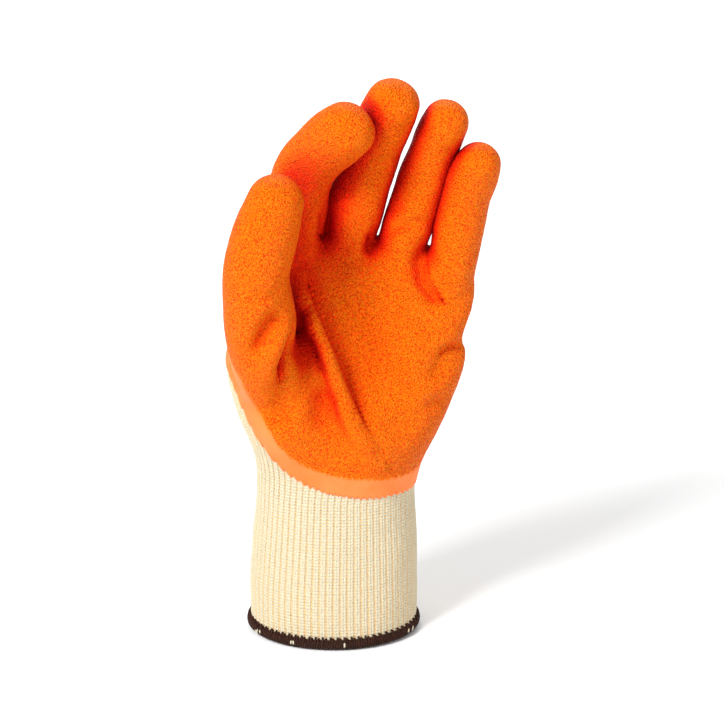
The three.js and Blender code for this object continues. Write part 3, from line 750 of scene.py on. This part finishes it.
def latex_material():
    """Orange latex: a grained body with painted highlights and painted shade in its grain, a smooth pale border
    along its edge, and painted shade, deeper red, in hollow places.
    """
    material, tree, shader = new_material("orange_latex", **{"Roughness": 0.5, "Specular IOR Level": 0.08})
    place = node(tree, "ShaderNodeTexCoord").outputs["Object"]
    grain = node(tree, "ShaderNodeTexVoronoi", Vector=place, Scale=1300.0).outputs["Distance"]
    crumbs, clouds = (
        node(tree, "ShaderNodeTexNoise", Vector=place, Scale=scale, Detail=detail, Roughness=rough).outputs[0]
        for scale, detail, rough in ((1600.0, 1.5, 0.5), (60.0, 3.0, 0.55))
    )
    in_the_open = node(tree, "ShaderNodeAmbientOcclusion", Distance=0.05, samples=16).outputs["AO"]
    from_edge = node(tree, "ShaderNodeAttribute", attribute_name="inside").outputs["Fac"]
    on_body = in_range(tree, from_edge, 8.2, 9.8)
    border = ramp(tree, clouds, [(0.3, (250, 118, 54)), (0.7, (255, 134, 74))])
    # The grain's colour is partly painted light: its rare light crumbs are painted highlights, and its darker
    # pits are painted shade.
    body = ramp(tree, crumbs, [
        (0.3, (252, 104, 0)), (0.5, (255, 128, 2)), (0.68, (255, 142, 14)), (0.8, (255, 184, 72)),
    ])
    painted_pit_shade = ramp(tree, grain, [(0.0, WHITE), (0.42, (255, 242, 228)), (0.85, (246, 150, 98))])
    # Painted shade: the colour goes deeper red where ambient occlusion finds the surface hollowed in, as
    # between the fingers, beside the thumb and in the creases.
    painted_hollow_shade = ramp(tree, in_the_open, [(0.28, (204, 8, 0)), (0.66, (252, 120, 54)), (0.92, WHITE)])
    shown = mixed(tree, on_body, border, body)
    shown = mixed(tree, on_body, shown, painted_pit_shade, "MULTIPLY")
    shown = mixed(tree, 1.0, shown, painted_hollow_shade, "MULTIPLY")
    bump = node(tree, "ShaderNodeBump", Distance=0.0013, Height=maths(tree, "SUBTRACT", crumbs, grain),
                Strength=maths(tree, "MULTIPLY_ADD", on_body, 0.85, 0.1))
    feed(tree, shader.inputs["Base Color"], shown)
    feed(tree, shader.inputs["Normal"], bump.outputs["Normal"])
    return material


latex = add_piece("latex_skin", np.vstack([top, foot]), np.vstack([latex_triangles, skirt]),
                  latex_material(), nodes=("latex_coating",))
paint(latex, "inside", np.concatenate([shown_inside, np.zeros(len(foot))]))


# The stitches of the liner: plain knitting in thick cream cotton yarn, seen on its face side as columns of
# V shapes. They run round the cuff and over the back of the hand, and up the backs of the fingers.
COURSE, YARN_ACROSS, YARN_THICK, YARN_SIDES = 1.45, 0.98, 0.32, 4
# The way of one leg of a stitch: across in columns, along in courses, height in millimetres. Then its girths.
STITCH_LEG = np.array([(0.05, -0.5, -0.15), (0.15, -0.1, 0.12), (0.2, 0.4, 0.17), (0.38, 0.9, -0.14)])
LEG_GIRTHS = np.array([0.7, 1.05, 1.05, 0.6])
# The cuff has WALES columns of stitches. The digits have fewer, and start some courses inside the hand.
THUMB_WALES, FINGER_WALES, COURSES_INSIDE, FIRST_COURSE = 28, 22, 4, 0.045
# How far the stitches go under the latex, how little one of the hand may have moved to lie on another part
# too, and how far a stitch may have moved at all.
STITCH_UNDER, NEARLY_OWN, MOVED_TOO_FAR = 0.7, 0.7, 5.0


def even_round(rings, wales):
    """Each ring of points, shared out again at even steps round it."""
    closed = np.concatenate([rings, rings[:, :1]], axis=1)
    steps = np.linalg.norm(np.diff(closed, axis=1), axis=2)
    result = np.empty((len(rings), wales, 3))
    for r in range(len(rings)):
        along = np.concatenate([[0], np.cumsum(steps[r])])
        at = np.linspace(0, along[-1], wales, endpoint=False)
        for axis in range(3):
            result[r, :, axis] = np.interp(at, along, closed[r, :, axis])
    return result


point_tree = tree_of(skin_points)


def laid_on_skin(lattice):
    """The lattice moved onto the skin: places, normals, how far each moved, the nearest point of the skin."""
    places, moved = np.empty_like(lattice), np.empty(lattice.shape[:2])
    nearest = np.empty(lattice.shape[:2], int)
    for r in range(lattice.shape[0]):
        for s in range(lattice.shape[1]):
            places[r, s], _, _, moved[r, s] = skin_tree.find_nearest(Vector(lattice[r, s]))
            nearest[r, s] = point_tree.find(places[r, s])[1]
    return places, skin_normals[nearest], moved, nearest


def yarn_rings(spine, across, up, half_across, half_up, sides):
    """Rings of points round a yarn that runs along a spine, each in the plane of across and up."""
    way = np.linspace(0, 2 * np.pi, sides, endpoint=False)
    half_across, half_up = (
        np.broadcast_to(half, spine.shape[:-1])[..., None] for half in (half_across, half_up)
    )
    return (spine[..., None, :] + across[..., None, :] * (np.cos(way) * half_across)[..., None]
            + up[..., None, :] * (np.sin(way) * half_up)[..., None])


def stitches_on(lattice, number):
    """Points, triangles and heights of the stitches of one lattice that lie on bare knit of its own part."""
    places, normals, moved, nearest = laid_on_skin(lattice)
    own = (skin_parts[nearest] == number) | ((moved < NEARLY_OWN) & (number == 0))
    own |= np.roll(own, 1 if number == 0 else -1, 0)
    keep = own & (inside_edge[nearest] < STITCH_UNDER) & (moved < MOVED_TOO_FAR)
    # stitches with few others round them go, and those at the ends, whose legs need the next courses
    around = sum(np.roll(np.roll(keep, i, 0), j, 1).astype(int) for i in (-1, 0, 1) for j in (-1, 0, 1))
    keep &= around > 4
    keep[0] = keep[-2:] = False
    rows, columns = np.nonzero(keep)
    count = len(rows)
    legs = []
    for hand in (-1, 1):
        path = np.empty((count, len(STITCH_LEG), 3))
        up = np.empty_like(path)
        for k, (across, along, height) in enumerate(STITCH_LEG):
            u, v = columns + hand * across, rows + along
            i, j = np.floor(u).astype(int), np.floor(v).astype(int)
            fu, fv = (u - i)[:, None], (v - j)[:, None]
            i0, i1, j0, j1 = i % lattice.shape[1], (i + 1) % lattice.shape[1], j, j + 1
            for source, target in ((places, path), (normals, up)):
                target[:, k] = ((source[j0, i0] * (1 - fu) + source[j0, i1] * fu) * (1 - fv)
                                + (source[j1, i0] * (1 - fu) + source[j1, i1] * fu) * fv)
            up[:, k] /= np.linalg.norm(up[:, k], axis=1)[:, None]
            path[:, k] += up[:, k] * height
        ahead = np.gradient(path, axis=1)
        ahead /= np.maximum(np.linalg.norm(ahead, axis=2), 1e-9)[..., None]
        across = np.cross(ahead, up)
        across /= np.maximum(np.linalg.norm(across, axis=2), 1e-9)[..., None]
        girth = LEG_GIRTHS * chance.uniform(0.93, 1.07, (count, 1))
        legs.append(yarn_rings(path, across, up, girth * YARN_ACROSS, girth * YARN_THICK, YARN_SIDES))
    chance.uniform(0, 1, count)  # one draw a stitch is passed over, which keeps the later pieces as they are
    rings, leg_points = np.concatenate(legs), len(STITCH_LEG) * YARN_SIDES
    quads = lattice_quads(len(STITCH_LEG), YARN_SIDES)
    fan = np.array([(0, k, k + 1) for k in range(1, YARN_SIDES - 1)])
    leg = np.vstack([quads[:, [0, 3, 1]], quads[:, [1, 3, 2]], fan, fan[:, ::-1] + leg_points - YARN_SIDES])
    triangles = leg + (np.arange(len(rings)) * leg_points)[:, None, None]
    heights = np.tile(np.repeat(STITCH_LEG[:, 2], YARN_SIDES), len(rings))
    return rings.reshape(-1, 3), triangles.reshape(-1, 3), heights


def stitch_material():
    """Cream yarn, with a darker golden painted shade where it dips in, by the height that the stitches carry.
    """
    material, tree, shader = new_material(
        "cream_yarn", **{"Roughness": 0.88, "Specular IOR Level": 0.15, "Sheen Weight": 0.1})
    fibre = node(tree, "ShaderNodeGroup", node_tree=fibres)
    height = node(tree, "ShaderNodeAttribute", attribute_name="height").outputs["Fac"]
    level = in_range(tree, height, STITCH_LEG[:, 2].min(), STITCH_LEG[:, 2].max())
    # Painted shade: the legs go darker and golden where they dip down between the stitches.
    painted_dip_shade = ramp(tree, level, [(0.0, (226, 172, 98)), (0.4, (205, 188, 149)), (1.0, (206, 198, 174))])
    grey = ramp(tree, fibre.outputs["Mask"], [(0.25, (190, 180, 160)), (0.6, WHITE)])
    feed(tree, shader.inputs["Base Color"], mixed(tree, 0.35, painted_dip_shade, grey, "MULTIPLY"))
    feed(tree, shader.inputs["Normal"], fibre.outputs["Normal"])
    return material


cream_yarn = stitch_material()
cuff_courses = int(round(CUFF_LENGTH / COURSE))
hand_courses = int(round(HAND_LENGTH / COURSE))
rises = np.concatenate([
    np.linspace(-1 + FIRST_COURSE, 0, cuff_courses, endpoint=False), np.linspace(0, 1, hand_courses),
])
lattice = even_round(trunk_form(*np.meshgrid(rises, round_angles, indexing="ij")), WALES)
on_cuff, on_hand = lattice[:cuff_courses + 3], lattice[cuff_courses:]
for name, part in (("cuff_stitches", on_cuff), ("hand_stitches", on_hand)):
    points, triangles, heights = stitches_on(part, 0)
    paint(add_piece(name, points, triangles, cream_yarn), "height", heights)
points, triangles, heights = [], [], []
for number, digit in enumerate(digits, 1):
    courses = int(round((digit.reach - digit.root) / COURSE))
    distances = np.concatenate([
        np.linspace(digit.root - COURSES_INSIDE * COURSE, digit.reach, courses + COURSES_INSIDE),
        digit.reach + digit.tip_radius * np.sin(np.linspace(0.2, 1.3, 5)),
    ])
    rings = digit.form(*np.meshgrid(distances, digit_angles, indexing="ij"))
    wales = THUMB_WALES if digit.name == "thumb" else FINGER_WALES
    more_points, more_triangles, more_heights = stitches_on(even_round(rings, wales), number)
    triangles.append(more_triangles + sum(len(p) for p in points))
    points.append(more_points)
    heights.append(more_heights)
stitches = add_piece("finger_stitches", np.vstack(points), np.vstack(triangles), cream_yarn)
paint(stitches, "height", np.concatenate(heights))


# The hem: the open edge of the cuff, bound over with dark brown thread by an overlock machine. The thread
# goes round the edge again and again, close together, and makes a small scallop at each column of stitches.
HEM_HEIGHT, HEM_OUT, HEM_IN = 4.4, 1.9, 1.5
HEM_HALF = (HEM_OUT + HEM_IN) / 2
# The wraps: how many, points and sides of one, half width and half thickness of the thread, how much higher
# than the hem each of three in turn reaches, and how much they lean.
WRAPS, WRAP_TURNS, WRAP_SIDES, THREAD_WIDE, THREAD_THICK = 198, 14, 6, 0.52, 0.42
SCALLOPS, WRAP_LEAN = (0.75, 0.3, -0.55), 0.35
# The cream bits: how many, sides and rows of one, half width.
BITS, BIT_SIDES, BIT_ROWS, BIT_WIDE = 14, 6, 6, 0.45
UP = np.array([0, 0, 1.0])


def hem_ring(count):
    """Middle places of the hem, and at each the way out from the glove and the way on round it."""
    angle = np.linspace(0, 2 * np.pi, count * 8, endpoint=False)
    rise = np.full_like(angle, -1 + HEM_HEIGHT / 2 / CUFF_LENGTH)
    ring = even_round(trunk_form(rise, angle)[None], count)[0]
    ahead = np.roll(ring, -1, 0) - np.roll(ring, 1, 0)
    out = np.stack([ahead[:, 1], -ahead[:, 0], np.zeros(count)], -1)
    out /= np.linalg.norm(out, axis=1)[:, None]
    return ring + out * (HEM_OUT - HEM_IN) / 2, out, ahead / np.linalg.norm(ahead, axis=1)[:, None]


hem_thread = yarn_material("brown_thread", (18, 9, 6), (64, 35, 24), sheen=0.03)
CORE_COUNT, CORE_SIDES, CORE_DRAW_IN = 264, 12, 0.3
middle, out, _ = hem_ring(CORE_COUNT)
core = yarn_rings(middle, out, UP, HEM_HALF - CORE_DRAW_IN, HEM_HEIGHT / 2 - CORE_DRAW_IN, CORE_SIDES)
core_quads = lattice_quads(CORE_COUNT, CORE_SIDES, closed=True)[:, [0, 3, 2, 1]]
add_piece("hem_core", core.reshape(-1, 3), core_quads, hem_thread, nodes=("hem_binding",))
middle, out, ahead = hem_ring(WRAPS)
way = np.linspace(0, 2 * np.pi, WRAP_TURNS, endpoint=False)
one_wrap = lattice_quads(WRAP_TURNS, WRAP_SIDES, closed=True)
wrap_points, wrap_faces = [], []
for i in range(WRAPS):
    lean = WRAP_LEAN + chance.uniform(-0.25, 0.25)
    up = np.where(np.sin(way) > 0, HEM_HEIGHT / 2 + SCALLOPS[i % 3], HEM_HEIGHT / 2 - 0.1)
    spine = (middle[i] + out[i] * (np.cos(way) * HEM_HALF * 0.95)[:, None] + UP * (np.sin(way) * up)[:, None]
             + ahead[i] * (np.sin(way) * lean)[:, None])
    outward = out[i] * np.cos(way)[:, None] + UP * np.sin(way)[:, None]
    wrap = yarn_rings(spine, ahead[i], outward, THREAD_WIDE, THREAD_THICK, WRAP_SIDES)
    wrap_points.append(wrap.reshape(-1, 3))
    wrap_faces.append(one_wrap + i * WRAP_TURNS * WRAP_SIDES)
add_piece("hem_wraps", np.vstack(wrap_points), np.vstack(wrap_faces), hem_thread)

# Here and there a cream stitch shows between the wraps.
one_bit = lattice_quads(BIT_ROWS, BIT_SIDES)
bit_points, bit_faces = [], []
for number, at in enumerate(chance.choice(WRAPS, BITS, replace=False)):
    tall, centre = chance.uniform(0.7, 1.3), chance.uniform(-1.2, 0.6)
    lean = chance.uniform(-0.5, 0.5)
    along = np.linspace(-1, 1, BIT_ROWS)
    wide = BIT_WIDE * np.sqrt(1 - (0.92 * along) ** 2)
    bulge = np.sqrt(1 - ((centre + along * tall) / (HEM_HEIGHT / 2 + 0.3)) ** 2)
    spine = (middle[at] + out[at] * (bulge * (HEM_HALF + 0.22))[:, None]
             + UP * (centre + along * tall)[:, None] + ahead[at] * (along * lean)[:, None])
    bit_points.append(yarn_rings(spine, ahead[at], out[at], wide, wide * 0.8, BIT_SIDES).reshape(-1, 3))
    bit_faces.append(one_bit + number * BIT_ROWS * BIT_SIDES)
bits = add_piece("hem_cream_bits", np.vstack(bit_points), np.vstack(bit_faces), cream_yarn)
paint(bits, "height", np.full(BITS * BIT_ROWS * BIT_SIDES, STITCH_LEG[:, 2].max()))


# The place it stands in: a pale floor just below the hem, a soft light from the left and above, a weaker one
# from the right, one that whitens the floor behind, and an even white surrounding. The camera sees the palm.
floor_mesh = bpy.data.meshes.new("floor")
floor_mesh.from_pydata([(-3, -2.5, 0), (3, -2.5, 0), (3, 4, 0), (-3, 4, 0)], [], [(0, 1, 2, 3)])
floor = bpy.data.objects.new("floor", floor_mesh)
floor.location.z = -0.0012
bpy.context.scene.collection.objects.link(floor)
floor_material, _, _ = new_material("pale_floor", **{"Base Color": (0.9, 0.9, 0.9, 1), "Roughness": 0.9})
floor_mesh.materials.append(floor_material)
bpy.context.scene.view_settings.view_transform = "Standard"


def soft_light(name, place, aim, size, watts):
    """A square lamp at a place, turned to an aim."""
    data = bpy.data.lights.new(name, "AREA")
    data.shape, data.size, data.energy = "SQUARE", size, watts
    lamp = bpy.data.objects.new(name, data)
    lamp.location = place
    lamp.rotation_euler = (Vector(aim) - Vector(place)).to_track_quat("-Z", "Y").to_euler()
    bpy.context.scene.collection.objects.link(lamp)


soft_light("left_light", (-0.8, -0.9, 1.1), (0, 0, 0.14), 0.5, 29)
soft_light("right_light", (1.0, -1.1, 0.6), (0, 0, 0.12), 0.7, 6)
soft_light("back_light", (0.2, 1.9, 1.6), (0.1, 1.9, 0), 1.6, 40)
world = bpy.data.worlds.new("studio")
world.use_nodes = True
world.node_tree.nodes["Background"].inputs["Color"].default_value = (1, 1, 1, 1)
world.node_tree.nodes["Background"].inputs["Strength"].default_value = 0.49
bpy.context.scene.world = world

camera_data = bpy.data.cameras.new("camera")
camera_data.lens, camera_data.sensor_width = 125.0, 36.0
camera = bpy.data.objects.new("camera", camera_data)
aim = Vector(VIEW_AIM / 1000)
camera.location = aim + Vector((0, -math.cos(VIEW_TILT), math.sin(VIEW_TILT))) * (VIEW_DISTANCE / 1000)
camera.rotation_euler = (aim - camera.location).to_track_quat("-Z", "Y").to_euler()
bpy.context.scene.collection.objects.link(camera)
bpy.context.scene.camera = camera
